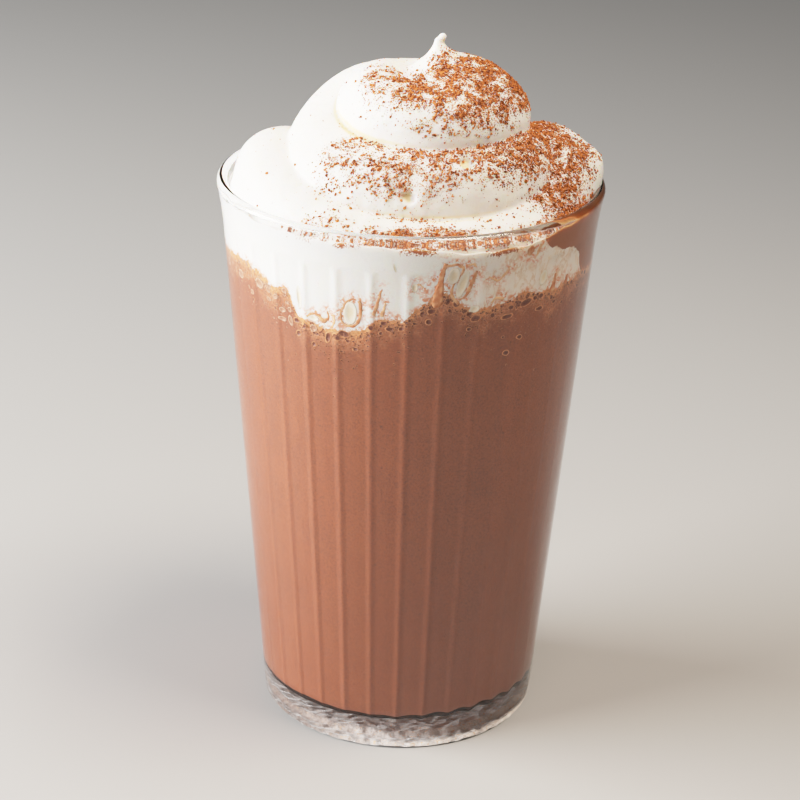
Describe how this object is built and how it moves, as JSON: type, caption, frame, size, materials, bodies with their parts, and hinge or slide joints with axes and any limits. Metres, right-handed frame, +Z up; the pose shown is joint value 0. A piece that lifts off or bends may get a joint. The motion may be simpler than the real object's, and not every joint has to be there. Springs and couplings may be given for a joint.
{
  "type": "chocolate milkshake",
  "caption": "Chocolate milkshake in a tall fluted glass tumbler, topped with a piped swirl of whipped cream and a dusting of cocoa.",
  "frame": {"origin": "centre of the tumbler's foot, on the table", "axes": "+Z up along the tumbler's axis, -Y towards the front of the swirl, +X to the right seen from the front"},
  "size_m": [0.09, 0.09, 0.1679],
  "materials": {
    "clear_glass": "clear, fire-polished rim, ribbed inside",
    "chocolate_milkshake": "opaque foamy drink, soft sheen",
    "whipped_cream": "soft, slightly translucent cream",
    "cocoa_powder": "dry matt powder"
  },
  "bodies": {
    "root": {"glass": "clear_glass", "milkshake": "chocolate_milkshake", "whipped_cream": "whipped_cream"}
  },
  "joints": []
}
